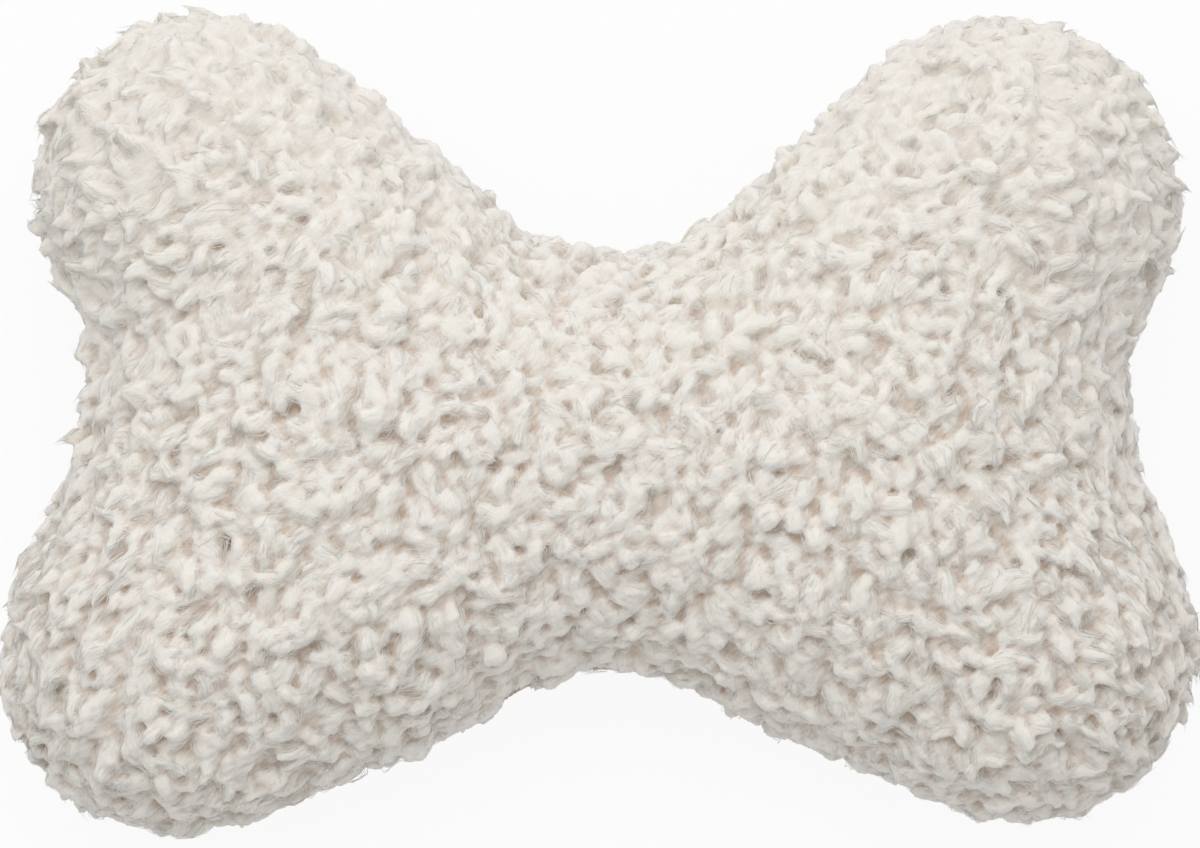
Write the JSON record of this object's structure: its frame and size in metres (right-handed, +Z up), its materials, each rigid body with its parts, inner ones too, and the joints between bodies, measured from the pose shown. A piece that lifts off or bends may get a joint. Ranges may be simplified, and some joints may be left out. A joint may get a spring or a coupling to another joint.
{
  "type": "plush bone dog toy",
  "caption": "Stuffed bone of cream curly fleece with plump knobs at both ends and a squeaker in its shaft, for a dog to carry, chew and squeeze.",
  "frame": {"origin": "bottom centre of the bounding box, on the surface that the bone's back rests on", "axes": "+X along the bone to the picture's right, +Y across it to the picture's top, +Z up through the front panel"},
  "size_m": [0.2812, 0.1946, 0.0892],
  "materials": {
    "curly_fleece": "cream long-pile curly fleece, matt, soft and fibrous, with warm shade between the curls",
    "fibre_filling": "white crimped polyester fibre, loose and matt",
    "sewing_thread": "cream spun polyester thread, slight sheen",
    "squeaker_soft_plastic": "milky soft polyethylene, satin",
    "squeaker_hard_plastic": "hard white moulded plastic, smooth",
    "reed_film": "thin stiff plastic film, glossy"
  },
  "bodies": {
    "stuffed_bone": {"front_cover": "curly_fleece", "back_cover": "curly_fleece", "seam_needle_thread": "sewing_thread", "seam_bobbin_thread": "sewing_thread", "closing_stitch_thread": "sewing_thread", "shaft_filling_front": "fibre_filling", "shaft_filling_back": "fibre_filling", "upper_left_knob_filling": "fibre_filling", "upper_right_knob_filling": "fibre_filling", "lower_left_knob_filling": "fibre_filling", "lower_right_knob_filling": "fibre_filling", "squeaker_bulb": "squeaker_soft_plastic"},
    "reed_insert": {"squeaker_reed_plug": "squeaker_hard_plastic", "squeaker_reed_clip": "squeaker_hard_plastic"},
    "reed_blade": {"squeaker_reed_blade": "reed_film"}
  },
  "joints": [
    {"name": "squeaker_press", "type": "slide", "parent": "stuffed_bone", "child": "reed_insert", "axis": [0, 0, -1], "range_m": [0, 0.012], "stiffness_N_per_m": 500, "deforming": ["squeaker_bulb"]},
    {"name": "reed_flutter", "type": "hinge", "parent": "reed_insert", "child": "reed_blade", "pos_m": [0.0001, 0, 0.05627], "axis": [0, -1, 0], "range_deg": [0, 6], "stiffness_Nm_per_rad": 0.0001}
  ]
}
